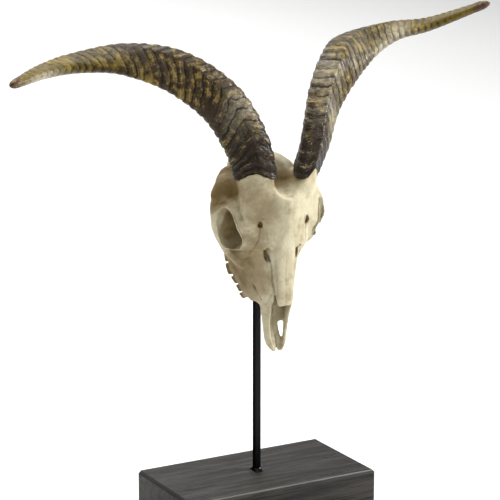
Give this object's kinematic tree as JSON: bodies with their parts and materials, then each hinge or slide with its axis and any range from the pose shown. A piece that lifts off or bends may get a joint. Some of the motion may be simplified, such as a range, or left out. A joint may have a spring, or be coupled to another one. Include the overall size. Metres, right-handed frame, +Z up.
{
  "type": "goat skull with horns on a stand",
  "caption": "Goat skull with two long spreading ridged horns, held on a thin square rod over a rectangular wooden block as a display piece.",
  "frame": {"origin": "middle of the block's underside", "axes": "+Z up, the skull faces -Y, the animal's left is at +X and the block's long side lies along X"},
  "size_m": [0.5462, 0.1284, 0.5229],
  "materials": {
    "bone": "dry matte ivory bone, darker in the hollows",
    "horn": "ridged horn, near black at the root and straw brown at the tip, half gloss",
    "black_wood": "black stain over open grain, satin",
    "black_steel": "black, satin"
  },
  "bodies": {
    "root": {"cranium": "bone", "maxilla": "bone", "nasal_left": "bone", "nasal_right": "bone", "premaxilla_left": "bone", "premaxilla_right": "bone", "horn_left": "horn", "horn_right": "horn", "stand_base": "black_wood", "stand_rod": "black_steel", "stand_foot": "black_steel"}
  },
  "joints": []
}
